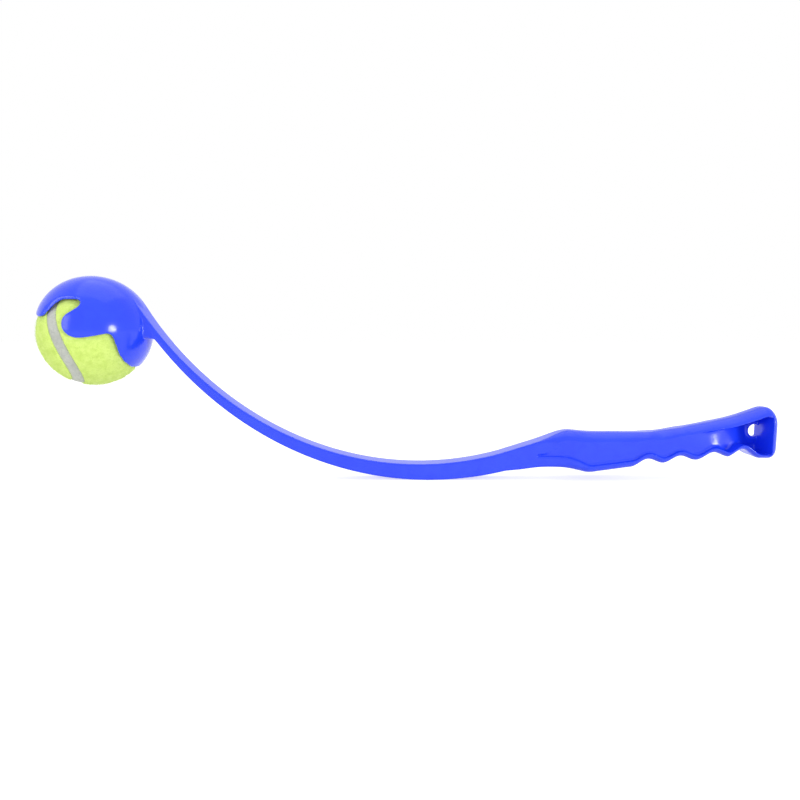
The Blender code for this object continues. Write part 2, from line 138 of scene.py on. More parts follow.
floor_mesh = bmesh.new()
bmesh.ops.create_grid(floor_mesh, x_segments=1, y_segments=1, size=FLOOR_SIZE / 2.0)
floor_data = bpy.data.meshes.new("floor")
floor_mesh.to_mesh(floor_data)
floor_mesh.free()
floor = bpy.data.objects.new("floor", floor_data)
bpy.context.scene.collection.objects.link(floor)
floor_finish, add, shader = new_material("white_sweep")
shader.inputs["Base Color"].default_value = (FLOOR_WHITE, FLOOR_WHITE, FLOOR_WHITE, 1.0)
shader.inputs["Roughness"].default_value = 1.0
shader.inputs["Specular IOR Level"].default_value = 0.0
shader.inputs["Emission Color"].default_value = WHITE
glow = add("ShaderNodeMath", {0: white_mask(add), 1: FLOOR_GLOW}, operation="MULTIPLY")
floor_finish.node_tree.links.new(glow.outputs[0], shader.inputs["Emission Strength"])
floor.data.materials.append(floor_finish)


# The lamps: a wide soft box above, one to the left, a weak one low behind, and a small round one to
# the right that leaves the round glint on the cup and the one in the grip's hollow.

middle = (cad_low + cad_high) / 2.0

# Each lamp's name, its place from the thrower's middle, its form, its width, its height, its watts
LAMPS = (
    ("top_box", (0.0, 0.3, 2.2), "RECTANGLE", 2.2, 2.2, 9.0),
    ("left_box", (-1.38, -1.52, 0.50), "RECTANGLE", 0.8, 1.0, 7.5),
    ("round_lamp", (1.9, -1.35, 0.12), "ELLIPSE", 0.60, 0.60, 21.0),
    ("back_box", (0.0, 2.2, 0.62), "RECTANGLE", 3.0, 0.7, 1.0),
)


def hang_lamp(name, place, form, width, height, watts):
    """Hang a soft lamp at a place seen from the thrower's middle, and turn it to that middle."""
    way = Vector(place)
    data = bpy.data.lights.new(name, "AREA")
    data.shape = form
    data.size = width
    data.size_y = height
    data.energy = watts
    made = bpy.data.objects.new(name, data)
    made.location = middle + way
    made.rotation_euler = (-way).to_track_quat("-Z", "Y").to_euler()
    bpy.context.scene.collection.objects.link(made)


for lamp in LAMPS:
    hang_lamp(*lamp)


# The launcher: cup, arm and grip, injected in one shot of glossy blue plastic. The cup is a thin
# ball-sized shell whose claws spring over the ball. The solids below are joined and cut, and then
# remeshed and smoothed, which rounds every edge by about half a millimetre as the mould does.

# The ball that the cup holds, and the way it leaves the cup
ball_boxes = [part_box("ball_felt_panel_a"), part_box("ball_felt_panel_b")]
ball_low = Vector([min(low[axis] for low, _ in ball_boxes) for axis in range(3)])
ball_high = Vector([max(high[axis] for _, high in ball_boxes) for axis in range(3)])
BALL_CENTRE = (ball_low + ball_high) / 2.0
BALL_RADIUS = (ball_high.x - ball_low.x) / 2.0
EXIT = Vector(frame["joints"][0]["axis"]).normalized()

# The cup's shell round that ball, which sits off the cup's centre by a drop
CUP_GAP = 0.0003
CUP_WALL = 0.0015
BALL_DROP = 0.0032
CUP_RADIUS = BALL_RADIUS + CUP_GAP + CUP_WALL
CUP_CENTRE = BALL_CENTRE - EXIT * BALL_DROP

# How far a cutter stands past what it cuts, how near points are merged, the sides of a round shape
OVERRUN = 0.01
MERGE_DISTANCE = 0.000001
ROUND_SIDES = 160

# The cup's lower edge seen from the side, in shares of the cup's radius: the front claw's tip, the
# bay behind it, the middle tongue, and the rear lobe under the arm. The first outline is the edge
# of the cup's inside and the second that of its outside, because the rim is bevelled. The last two
# points of each are corners far below the cup.
INNER_EDGE_SHARES = (
    (-1.35, 0.36), (-0.86, 0.34), (-0.72, 0.23), (-0.52, 0.23), (-0.41, 0.335), (-0.28, 0.455),
    (-0.16, 0.53), (0.02, 0.53), (0.15, 0.515), (0.172, 0.41), (0.06, 0.325), (-0.06, 0.25),
    (-0.115, 0.12), (-0.08, -0.02), (0.05, -0.13), (0.225, -0.14), (0.455, -0.095), (0.62, -0.05),
    (0.672, -0.17), (0.68, -0.45), (0.712, -0.72), (0.715, -1.35), (-1.35, -1.35),
)
OUTER_EDGE_SHARES = (
    (-1.35, 0.56), (-0.93, 0.50), (-0.75, 0.25), (-0.575, 0.235), (-0.53, 0.375), (-0.40, 0.49),
    (-0.24, 0.585), (0.00, 0.595), (0.19, 0.56), (0.20, 0.43), (0.07, 0.335), (-0.06, 0.255),
    (-0.115, 0.12), (-0.08, -0.02), (0.05, -0.13), (0.225, -0.14), (0.455, -0.095), (0.62, -0.05),
    (0.672, -0.17), (0.68, -0.45), (0.712, -0.72), (0.715, -1.35), (-1.35, -1.35),
)

# The bevel is cut in steps: how far each lies from the inner outline to the outer one, and how deep
# it goes into the cup's wall, as a share of the wall.
RIM_STEPS = ((0.17, 0.75), (0.34, 0.55), (0.50, 0.39), (0.67, 0.25), (0.84, 0.12))
CORNER_CUT_SHARE = 0.25
CORNER_CUTS = 5


def shape(name, bm):
    """Turn a bmesh into an object in the scene."""
    mesh = bpy.data.meshes.new(name)
    bm.to_mesh(mesh)
    bm.free()
    made = bpy.data.objects.new(name, mesh)
    bpy.context.scene.collection.objects.link(made)
    return made


def ball_shape(name, centre, radius):
    """Make a fine sphere."""
    bm = bmesh.new()
    bmesh.ops.create_uvsphere(bm, u_segments=ROUND_SIDES, v_segments=ROUND_SIDES // 2, radius=radius)
    bmesh.ops.translate(bm, verts=bm.verts, vec=centre)
    return shape(name, bm)


def rod_shape(name, start, end, radius, wall=None, end_radius=None):
    """Make a rod between two points. It can be cut off flat at a wall and have another end radius."""
    way = end - start
    bm = bmesh.new()
    bmesh.ops.create_cone(bm, cap_ends=True, segments=ROUND_SIDES, radius1=radius,
                          radius2=end_radius or radius, depth=way.length)
    turn = Vector((0.0, 0.0, 1.0)).rotation_difference(way)
    place = Matrix.Translation((start + end) / 2.0) @ turn.to_matrix().to_4x4()
    bmesh.ops.transform(bm, verts=bm.verts, matrix=place)
    if wall is not None:
        bmesh.ops.bisect_plane(bm, geom=bm.verts[:] + bm.edges[:] + bm.faces[:], clear_outer=True,
                               plane_co=(wall, 0.0, 0.0), plane_no=(1.0, 0.0, 0.0))
        bmesh.ops.holes_fill(bm, edges=bm.edges, sides=0)
    return shape(name, bm)


def plate_shape(name, outline, depth):
    """Make a plate from an outline in the throwing plane, as thick as the depth on each side."""
    bm = bmesh.new()
    face = bm.faces.new([bm.verts.new(point - Vector((0.0, depth, 0.0))) for point in outline])
    walls = bmesh.ops.extrude_face_region(bm, geom=[face])["geom"]
    moved = [item for item in walls if isinstance(item, bmesh.types.BMVert)]
    bmesh.ops.translate(bm, verts=moved, vec=(0.0, 2.0 * depth, 0.0))
    bmesh.ops.recalc_face_normals(bm, faces=bm.faces)
    return shape(name, bm)


def wrapped_shape(name, around, along, place):
    """Wrap a grid round a form. place gives the point at a step round it and a step along it."""
    bm = bmesh.new()
    bmesh.ops.create_grid(bm, x_segments=around, y_segments=along, size=0.5)
    bmesh.ops.translate(bm, verts=bm.verts, vec=(0.5, 0.5, 0.0))
    for vert in bm.verts:
        step_round = round(vert.co.x * around) % around
        vert.co = place(step_round, round(vert.co.y * along))
    bmesh.ops.remove_doubles(bm, verts=bm.verts, dist=MERGE_DISTANCE)
    bmesh.ops.holes_fill(bm, edges=bm.edges, sides=0)
    bmesh.ops.recalc_face_normals(bm, faces=bm.faces)
    return shape(name, bm)


def combine(target, operation, other):
    """Join a shape with another one, or cut the other one out of it, by a modifier."""
    step = target.modifiers.new(other.name, "BOOLEAN")
    step.operation = operation
    step.object = other
    step.solver = "MANIFOLD"


# Points round each edge of a bar, and the most that an edge's radius takes of the half width
CORNER_POINTS = 13
CORNER_LIMIT_SHARE = 0.98


def section_point(step, half_width, half_height, radii):
    """Return one point of a rounded rectangle, counted anticlockwise from its right side."""
    quarter, part = divmod(step, CORNER_POINTS)
    side, level = ((1, 1), (-1, 1), (-1, -1), (1, -1))[quarter]
    radius = min(radii[quarter // 2], half_width * CORNER_LIMIT_SHARE, half_height * CORNER_LIMIT_SHARE)
    angle = (quarter + part / (CORNER_POINTS - 1)) * math.pi / 2.0
    across = side * (half_width - radius) + radius * math.cos(angle)
    return across, level * (half_height - radius) + radius * math.sin(angle)


def bar_shape(name, stations):
    """Make a bar through stations: middle, way up, half width, half height, and two edge radii."""
    def place(step_round, step_along):
        centre, up_way, half_width, half_height, radii = stations[step_along]
        across, up = section_point(step_round, half_width, half_height, radii)
        return centre + ACROSS * across + up_way * up
    return wrapped_shape(name, 4 * CORNER_POINTS, len(stations) - 1, place)


def smoothstep(low, high, value):
    """Rise smoothly from 0 at low to 1 at high."""
    share = min(max((value - low) / (high - low), 0.0), 1.0)
    return share * share * (3.0 - 2.0 * share)


def ease_in(low, high, value):
    """Rise from 0 at low to 1 at high, slowly at first and then steeper and steeper."""
    return min(max((value - low) / (high - low), 0.0), 1.0) ** 2


def table_value(rows, column, share):
    """Read a smooth curve through one column of a table at a share of the first column."""
    last = len(rows) - 1
    index = 0
    while index < last - 1 and rows[index + 1][0] < share:
        index += 1
    start, end = rows[index], rows[index + 1]
    before, after = rows[max(index - 1, 0)], rows[min(index + 2, last)]
    span = end[0] - start[0]
    start_slope = (end[column] - before[column]) / (end[0] - before[0])
    end_slope = (after[column] - start[column]) / (after[0] - start[0])
    part = (share - start[0]) / span
    rise = end[column] - start[column]
    blend = start[column] + rise * part * part * (3.0 - 2.0 * part)
    blend += span * start_slope * part * (1.0 - part) * (1.0 - part)
    return blend - span * end_slope * part * part * (1.0 - part)


# The arm: a flat strip that is thin at the cup, where it fans out a little, and swells towards the
# hand. Its start on the cup's back is given in shares of the cup's radius. From there it follows a
# Bezier curve, whose three further points are given in shares of the arm's span.
ARM_SPAN = 0.233
ARM_WIDTH = 0.014
ARM_TIP_THICKNESS = 0.0034
ARM_GRIP_THICKNESS = 0.0119
ARM_EDGE_RADIUS = 0.0008
ARM_ROOT_WIDENING = 0.0012
ARM_ROOT_SPAN = 0.024
ARM_ROOT_RISE = 0.006
ARM_STATIONS = 120
ARM_START_SHARES = (0.772, 0.535)
ARM_CURVE_SHARES = ((0.193, -0.335), (0.588, -0.545), (1.0, -0.438))

ACROSS = Vector((0.0, -1.0, 0.0))
arm_start = CUP_CENTRE + Vector((ARM_START_SHARES[0], 0.0, ARM_START_SHARES[1])) * CUP_RADIUS
arm_points = [arm_start]
for along_share, up_share in ARM_CURVE_SHARES:
    arm_points.append(arm_start + Vector((along_share, 0.0, up_share)) * ARM_SPAN)
arm_end = arm_points[-1]
centres = interpolate_bezier(*arm_points, ARM_STATIONS)
arm_length = sum((far - near).length for near, far in zip(centres, centres[1:]))
stations = []
travelled = 0.0
for index, centre in enumerate(centres):
    travelled += (centre - centres[max(index - 1, 0)]).length
    ahead = centres[min(index + 1, len(centres) - 1)] - centres[max(index - 1, 0)]
    up_way = Vector((-ahead.z, 0.0, ahead.x)).normalized()
    thickness = ARM_TIP_THICKNESS + (ARM_GRIP_THICKNESS - ARM_TIP_THICKNESS) * travelled / arm_length
    fan = max(1.0 - travelled / ARM_ROOT_SPAN, 0.0) ** 2 * smoothstep(0.0, ARM_ROOT_RISE, travelled)
    half_width = ARM_WIDTH / 2.0 + ARM_ROOT_WIDENING * fan
    stations.append((centre, up_way, half_width, thickness / 2.0, [ARM_EDGE_RADIUS] * 2))

# The grip: crowned above, with four finger grooves below and a rounded butt, where the bar stops
# just short of a point. Rows of the profile give the distance along in shares of its length, then
# top and bottom in shares of its height. Each groove has its place along the grip and its share of
# the full depth. The grip widens from the arm's width between two shares of its length.
GRIP_LENGTH = 0.1735
GRIP_HEIGHT = 0.0225
GRIP_WIDTH = 0.022
GRIP_TOP_RADIUS = 0.0098
GRIP_LOW_RADIUS = 0.0045
GRIP_WALL = 0.0025
BUTT_ROUNDING = 0.0055
BUTT_TOP_ROUNDING = 0.010
BUTT_WALL = 0.0045
BUTT_SHORT_SHARE = 0.002
GROOVE_DEPTH = 0.0037
GROOVE_HALF_WIDTH = 0.0105
GROOVE_POWER = 1.9
STATION_PITCH = 0.0007
GRIP_PROFILE_SHARES = (
    (0.066, 0.440, -0.214), (0.138, 0.620, -0.146), (0.210, 0.846, -0.144), (0.242, 0.900, -0.171),
    (0.277, 0.881, -0.229), (0.311, 0.858, -0.282), (0.352, 0.849, -0.249), (0.421, 0.849, -0.177),
    (0.460, 0.845, -0.136), (0.541, 0.858, -0.056), (0.617, 0.930, 0.009), (0.698, 1.040, 0.064),
    (0.772, 1.155, 0.125), (0.847, 1.285, 0.160), (0.922, 1.475, 0.128), (1.000, 1.710, 0.118),
)
GROOVE_SHARES = ((0.528, 1.0), (0.647, 0.95), (0.769, 1.0), (0.877, 1.35))
GRIP_WIDENING_SHARES = (0.12, 0.27)


def grip_outline(along):
    """Return the grip's top, bottom, half width and edge radii at a distance along it."""
    share = along / GRIP_LENGTH
    top = arm_end.z + table_value(GRIP_PROFILE_SHARES, 1, share) * GRIP_HEIGHT
    bottom = arm_end.z + table_value(GRIP_PROFILE_SHARES, 2, share) * GRIP_HEIGHT
    lift = 0.0
    for centre_share, depth in GROOVE_SHARES:
        off = abs(along - centre_share * GRIP_LENGTH) / GROOVE_HALF_WIDTH
        if off < 1.0:
            lift = max(lift, depth * math.cos(off * math.pi / 2.0) ** GROOVE_POWER)
    widening = smoothstep(*GRIP_WIDENING_SHARES, share)
    half_width = (ARM_WIDTH + (GRIP_WIDTH - ARM_WIDTH) * widening) / 2.0
    radii = [ARM_EDGE_RADIUS + (radius - ARM_EDGE_RADIUS) * widening
             for radius in (GRIP_TOP_RADIUS, GRIP_LOW_RADIUS)]
    return top, bottom + lift * GROOVE_DEPTH, half_width, radii


def end_inset(along, rounding):
    """Return how far the grip's rounded end is drawn in at a distance along it."""
    past = max(along - (GRIP_LENGTH - rounding), 0.0)
    return rounding - math.sqrt(max(rounding ** 2 - past ** 2, 0.0))


def steps_between(start, end):
    """Return distances along the grip, closely and evenly spaced."""
    count = math.ceil((end - start) / STATION_PITCH)
    return [start + (end - start) * step / count for step in range(count + 1)]


UPWARDS = Vector((0.0, 0.0, 1.0))
grip_start = GRIP_PROFILE_SHARES[0][0] * GRIP_LENGTH
for along in steps_between(grip_start, GRIP_LENGTH - BUTT_ROUNDING * BUTT_SHORT_SHARE):
    top, bottom, half_width, radii = grip_outline(along)
    inset = end_inset(along, BUTT_ROUNDING)
    top -= end_inset(along, BUTT_TOP_ROUNDING)
    bottom += inset
    centre = Vector((arm_end.x + along, 0.0, (top + bottom) / 2.0))
    stations.append((centre, UPWARDS, half_width - inset, (top - bottom) / 2.0, radii))
arm_and_grip = bar_shape("arm_and_grip", stations)

# The web that carries the arm: it fills the corner between the cup's back and the arm. Each level
# has its height and its reach behind the cup, in shares of the cup's radius, as have the start and
# the half width of its root in the cup's wall. The lowest level falls away from the cup by a slope.
WEB_LEVEL_SHARES = ((-0.09, 1.145), (-0.01, 1.08), (0.08, 1.018), (0.18, 0.96), (0.28, 0.90))
WEB_SLOPE = 0.45
WEB_ROOT_SHARES = (0.70, 0.235)
WEB_SIDES = 6


def web_point(step_round, step_along):
    """Return one corner of the web at one of its levels."""
    height_share, reach_share = WEB_LEVEL_SHARES[step_along]
    foot, spread = (share * CUP_RADIUS for share in WEB_ROOT_SHARES)
    height = height_share * CUP_RADIUS
    back_wall = math.sqrt(CUP_RADIUS ** 2 - spread ** 2 - height ** 2)
    corners = ((foot, -spread), (back_wall, -spread), (reach_share * CUP_RADIUS, -ARM_WIDTH / 2.0))
    x, y = (corners + tuple((x, -y) for x, y in reversed(corners)))[step_round]
    if step_along == 0:
        height -= max(x - back_wall, 0.0) * WEB_SLOPE
    return CUP_CENTRE + Vector((x, y, height))


web = wrapped_shape("web", WEB_SIDES, len(WEB_LEVEL_SHARES) - 1, web_point)

# The hollow in the grip's near side. It starts at a nose, its rim is chamfered, and its floor is
# shallow above, where the edge is faint at first, and deeper below. Near the butt a ramp takes the
# floor down to the far wall. Rows of the margins give the distance along in shares of the grip's
# length, then the walls left above and below the hollow in shares of its height. Lengths past the
# nose and the ends of the ramps are in shares of the grip's length too.
POCKET_DEPTH = 0.0032
POCKET_NOSE_DEPTH = 0.0018
POCKET_NOSE_HEIGHT = 0.0006
POCKET_HIGH_DEPTH = 0.0010
POCKET_FAINT_DEPTH = 0.0003
POCKET_CORNER = 0.0022
POCKET_MARGIN_SHARES = (
    (0.1245, 0.22, 0.22), (0.46, 0.20, 0.215), (0.62, 0.17, 0.185), (0.79, 0.25, 0.17),
    (0.90, 0.27, 0.165), (1.0, 0.27, 0.11),
)
POCKET_NOSE_SHARES = (0.1245, 0.20)
PAST_NOSE_UPPER_SHARES = (0.0, 0.115)
PAST_NOSE_LOWER_SHARES = (0.08, 0.21)
PAST_NOSE_DEEPER_SHARES = (0.02, 0.20)
PAST_NOSE_CLEARER_SHARES = (0.06, 0.26)
POCKET_HIGH_RAMP_SHARES = (0.64, 0.93)
POCKET_LOW_RAMP_SHARES = (0.73, 0.95)
POCKET_POINTS = 20
POCKET_RIM_POINTS = 2
POCKET_CHAMFER = 0.0008

nose_share, nose_level_share = POCKET_NOSE_SHARES
nose_level = arm_end.z + nose_level_share * GRIP_HEIGHT
pocket_end = GRIP_LENGTH - BUTT_WALL
pocket_steps = steps_between(nose_share * GRIP_LENGTH, pocket_end)


def pocket_point(step_round, step_along):
    """Return one point round the hollow: its floor from below to above, and its rim on each side."""
    along = pocket_steps[step_along]
    share = along / GRIP_LENGTH
    past_nose = share - nose_share
    top, bottom, half_width, _ = grip_outline(along)
    top -= end_inset(along, BUTT_TOP_ROUNDING)
    top -= table_value(POCKET_MARGIN_SHARES, 1, share) * GRIP_HEIGHT
    bottom += table_value(POCKET_MARGIN_SHARES, 2, share) * GRIP_HEIGHT
    rise = smoothstep(*PAST_NOSE_UPPER_SHARES, past_nose)
    fall = smoothstep(*PAST_NOSE_LOWER_SHARES, past_nose)
    ceiling = nose_level + (top - nose_level) * rise + POCKET_NOSE_HEIGHT
    lowest = nose_level + (bottom - nose_level) * fall - POCKET_NOSE_HEIGHT
    full_depth = 2.0 * half_width - GRIP_WALL
    low_depth = POCKET_NOSE_DEPTH
    low_depth += (POCKET_DEPTH - low_depth) * smoothstep(*PAST_NOSE_DEEPER_SHARES, past_nose)
    low_depth += (full_depth - low_depth) * ease_in(*POCKET_LOW_RAMP_SHARES, share)
    high_depth = POCKET_FAINT_DEPTH
    high_depth += (POCKET_HIGH_DEPTH - high_depth) * smoothstep(*PAST_NOSE_CLEARER_SHARES, past_nose)
    high_depth += (full_depth - high_depth) * ease_in(*POCKET_HIGH_RAMP_SHARES, share)
    step = min(max(step_round - POCKET_RIM_POINTS, 0), POCKET_POINTS - 1)
    level = (1.0 - math.cos(math.pi * step / (POCKET_POINTS - 1))) / 2.0
    height = lowest + (ceiling - lowest) * level
    depth = low_depth + (high_depth - low_depth) * level
    chamfer = min(POCKET_CHAMFER, depth / 2.0)
    corner = min(POCKET_CORNER, depth - chamfer, (ceiling - lowest) / 2.0)
    short = max(corner - min(height - lowest, ceiling - height), 0.0)
    depth -= corner - math.sqrt(max(corner ** 2 - short ** 2, 0.0))
    outwards = -1.0 if step == 0 else 1.0
    rim_step = abs(step_round - POCKET_RIM_POINTS - step)
    if rim_step == 1:
        depth = chamfer
    elif rim_step == POCKET_RIM_POINTS:
        depth = -OVERRUN
        height += (chamfer + OVERRUN) * outwards
    return Vector((arm_end.x + along, depth - half_width, height))


points_round = POCKET_POINTS + 2 * POCKET_RIM_POINTS
pocket = wrapped_shape("pocket", points_round, len(pocket_steps) - 1, pocket_point)

# The hanging hole in the floor of the hollow, with a raised ring whose foot slopes out into the
# floor. The end wall cuts both short.
HOLE_SHARES = (0.9625, 0.822)
HOLE_RADIUS = 0.0041
RING_WIDTH = 0.0017
RING_HEIGHT = 0.0022
RING_FOOT_WIDTH = 0.0070
HOLE_CLEARANCE = 0.0003

hole_along = HOLE_SHARES[0] * GRIP_LENGTH
hole_up = HOLE_SHARES[1] * GRIP_HEIGHT
hole = Vector((arm_end.x + hole_along, 0.0, arm_end.z + hole_up))
inside = GRIP_WIDTH / 2.0 - GRIP_WALL
ring_top = hole + Vector((0.0, inside - RING_HEIGHT, 0.0))
ring_foot = hole + Vector((0.0, inside + GRIP_WALL / 2.0, 0.0))
hole_ring = rod_shape("hole_ring", ring_top, ring_foot, HOLE_RADIUS + RING_WIDTH,
                      arm_end.x + pocket_end + BUTT_WALL / 2.0, HOLE_RADIUS + RING_FOOT_WIDTH)
hole_top = ring_top - Vector((0.0, HOLE_CLEARANCE, 0.0))
hole_foot = hole + Vector((0.0, GRIP_WIDTH, 0.0))
hanging_hole = rod_shape("hanging_hole", hole_top, hole_foot, HOLE_RADIUS, arm_end.x + pocket_end)

# The cup: a ball that is hollowed, opened where the tennis ball leaves it, and cut through from the
# side along the outline of its edge
def edge_outline(shares):
    """Place an outline on the cup and round its corners, by cutting them again and again."""
    outline = [Vector((x, 0.0, z)) * CUP_RADIUS + CUP_CENTRE for x, z in shares]
    closing = outline[-2:]
    outline = outline[:-2]
    for _ in range(CORNER_CUTS):
        rounded = [outline[0]]
        for start, end in zip(outline, outline[1:]):
            rounded += [start.lerp(end, share) for share in (CORNER_CUT_SHARE, 1.0 - CORNER_CUT_SHARE)]
        outline = rounded + [outline[-1]]
    return outline + closing


launcher = ball_shape("launcher", CUP_CENTRE, CUP_RADIUS)
cavity = ball_shape("cavity", CUP_CENTRE, CUP_RADIUS - CUP_WALL)
mouth = rod_shape("mouth", CUP_CENTRE, CUP_CENTRE + EXIT * CUP_RADIUS * 2.0, CUP_RADIUS - CUP_WALL)
inner_edge = edge_outline(INNER_EDGE_SHARES)
outer_edge = edge_outline(OUTER_EDGE_SHARES)
cup_edge = plate_shape("cup_edge", inner_edge, CUP_RADIUS + OVERRUN)
rims = []
cores = []
for share, depth_share in RIM_STEPS:
    outline = [inner.lerp(outer, share) for inner, outer in zip(inner_edge, outer_edge)]
    rim = plate_shape("rim", outline, CUP_RADIUS + OVERRUN)
    core = ball_shape("rim_core", CUP_CENTRE, CUP_RADIUS - depth_share * CUP_WALL)
    combine(rim, "DIFFERENCE", core)
    rims.append(rim)
    cores.append(core)

# How fine the finished skin is, how often and how strongly its edges are eased, and the share of
# its faces that stays
SKIN_PITCH = 0.0004
SKIN_EASING = 6
EASING_FACTOR = 0.5
SKIN_SHARE = 0.28


def finish_shape(target, cuts, pitch, easing, share):
    """Join and cut a shape, remesh it, ease its edges and thin its mesh, and keep the result."""
    for operation, other in cuts:
        combine(target, operation, other)
    remesh = target.modifiers.new("skin", "REMESH")
    remesh.mode = "VOXEL"
    remesh.voxel_size = pitch
    remesh.use_smooth_shade = True
    ease = target.modifiers.new("ease", "SMOOTH")
    ease.factor = EASING_FACTOR
    ease.iterations = easing
    if share < 1.0:
        thin = target.modifiers.new("thin", "DECIMATE")
        thin.ratio = share
    graph = bpy.context.evaluated_depsgraph_get()
    mesh = bpy.data.meshes.new_from_object(target.evaluated_get(graph))
    target.modifiers.clear()
    target.data = mesh
    mesh.shade_smooth()
    for _, other in cuts:
        bpy.data.objects.remove(other, do_unlink=True)


finish_shape(launcher, [
    ("UNION", arm_and_grip), ("UNION", web), ("DIFFERENCE", cavity), ("DIFFERENCE", mouth),
    ("DIFFERENCE", cup_edge), *(("DIFFERENCE", rim) for rim in rims),
    ("DIFFERENCE", pocket), ("UNION", hole_ring), ("DIFFERENCE", hanging_hole),
], SKIN_PITCH, SKIN_EASING, SKIN_SHARE)
for core in cores:
    bpy.data.objects.remove(core, do_unlink=True)

# The mottle that every moulded, poured or needled surface here has: soft patches broken up by a
# finer grain. It is one node group, and each material gives it its own scales and colours.
MOTTLE_DETAIL = 4.0
GRAIN_DISTORTION = 1.0
MOTTLE_LOW = 0.12
MOTTLE_HIGH = 0.34


def mottle_group():
    """Build the node group for mottled colour, with its mask and its height."""
    tree = bpy.data.node_groups.new("mottle", "ShaderNodeTree")
    for label, kind in (
        ("Place", "NodeSocketVector"), ("Patch Scale", "NodeSocketFloat"),
        ("Grain Scale", "NodeSocketFloat"), ("Low", "NodeSocketFloat"), ("High", "NodeSocketFloat"),
        ("Dark", "NodeSocketColor"), ("Light", "NodeSocketColor"),
    ):
        tree.interface.new_socket(label, in_out="INPUT", socket_type=kind)
    for label, kind in (
        ("Colour", "NodeSocketColor"), ("Mask", "NodeSocketFloat"), ("Height", "NodeSocketFloat"),
    ):
        tree.interface.new_socket(label, in_out="OUTPUT", socket_type=kind)
    add = node_maker(tree)
    given = add("NodeGroupInput").outputs
    patches = add("ShaderNodeTexNoise", {
        "Vector": given["Place"], "Scale": given["Patch Scale"], "Detail": MOTTLE_DETAIL,
    })
    grain = add("ShaderNodeTexNoise", {
        "Vector": given["Place"], "Scale": given["Grain Scale"], "Detail": MOTTLE_DETAIL,
        "Distortion": GRAIN_DISTORTION,
    })
    both = add("ShaderNodeMath", {0: patches.outputs["Fac"], 1: grain.outputs["Fac"]},
               operation="MULTIPLY")
    mask = add("ShaderNodeMapRange", {
        "Value": both.outputs[0], "From Min": given["Low"], "From Max": given["High"],
    })
    # The colours of a Mix node are its inputs 6 and 7 and its output 2
    colour = add("ShaderNodeMix", {
        "Factor": mask.outputs["Result"], 6: given["Dark"], 7: given["Light"],
    }, data_type="RGBA")
    add("NodeGroupOutput", {
        "Colour": colour.outputs[2], "Mask": mask.outputs["Result"], "Height": both.outputs[0],
    })
    return tree


mottle = mottle_group()


def mottled_material(name, scales, dark, light, roughness, bump_depth, bump_strength=1.0):
    """Make a material whose colour and bump come from the mottle. Return its parts and the mask."""
    made, add, shader = new_material(name)
    group = add("ShaderNodeGroup", {
        "Place": add("ShaderNodeTexCoord").outputs["Object"],
        "Patch Scale": scales[0], "Grain Scale": scales[1], "Low": MOTTLE_LOW, "High": MOTTLE_HIGH,
        "Dark": dark, "Light": light,
    }, node_tree=mottle)
    bump = add("ShaderNodeBump", {
        "Height": group.outputs["Height"], "Distance": bump_depth, "Strength": bump_strength,
    })
    made.node_tree.links.new(group.outputs["Colour"], shader.inputs["Base Color"])
    made.node_tree.links.new(bump.outputs["Normal"], shader.inputs["Normal"])
    shader.inputs["Roughness"].default_value = roughness
    return made, add, shader, group.outputs["Mask"]


# The plastic: a clear bright blue, moulded glossy, with the faint ripple of a moulded face. Its
# gloss varies a little with the mottle.
PLASTIC_LIGHT = (0.014, 0.060, 0.92, 1.0)
PLASTIC_DARK = (0.011, 0.050, 0.88, 1.0)
PLASTIC_SCALES = (25.0, 90.0)
PLASTIC_GLOSSY = 0.15
PLASTIC_DULL = 0.21
RIPPLE_DEPTH = 0.00003

plastic, add, shader, mask = mottled_material(
    "blue_plastic", PLASTIC_SCALES, PLASTIC_DARK, PLASTIC_LIGHT, PLASTIC_DULL, RIPPLE_DEPTH
)
dull = add("ShaderNodeMapRange", {"Value": mask, "To Min": PLASTIC_DULL, "To Max": PLASTIC_GLOSSY})
plastic.node_tree.links.new(dull.outputs["Result"], shader.inputs["Roughness"])
launcher.data.materials.clear()
launcher.data.materials.append(plastic)
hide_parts("launcher_moulding")
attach(launcher, "launcher")


# The ball's core: two half shells of black rubber, cemented edge to edge. They are hidden by the
# felt, so they stay as they are and only take their rubber.

RUBBER_DARK = (0.05, 0.05, 0.045, 1.0)
RUBBER_LIGHT = (0.14, 0.14, 0.12, 1.0)
RUBBER_SCALES = (120.0, 700.0)
RUBBER_ROUGHNESS = 0.75
RUBBER_GRAIN_DEPTH = 0.0001

rubber, *_ = mottled_material(
    "core_rubber", RUBBER_SCALES, RUBBER_DARK, RUBBER_LIGHT, RUBBER_ROUGHNESS, RUBBER_GRAIN_DEPTH
)
for name in ("ball_core_half_a", "ball_core_half_b"):
    core = frame["nodes"][name]
    core.data.materials.clear()
    core.data.materials.append(rubber)


# The felt: two dumbbell panels of needled wool and nylon, glued over the core. Their edges roll
# down into the seam, and steaming raises a short fuzz all over.

FELT_THICKNESS = 0.0027
SEAM_WIDTH = 0.0072
SEAM_BEND_SHARE = 0.207
SEAM_SPIN = math.radians(8.0)
SEAM_TILT = math.radians(-26.8)
SEAM_HEADING = math.radians(66.8)
SEAM_TURN = (
    Matrix.Rotation(SEAM_HEADING, 4, "Z") @ Matrix.Rotation(SEAM_TILT, 4, "X")
    @ Matrix.Rotation(SEAM_SPIN, 4, "Z")
)
SEAM_STEPS = 360
FELT_PITCH = 0.0006
FELT_EASING = 8
FELT_SHARE = 1.0
LUMP_SIZE = 0.0035
LUMP_HEIGHT = 0.00022
TUFT_SIZE = 0.0009
TUFT_HEIGHT = 0.00018

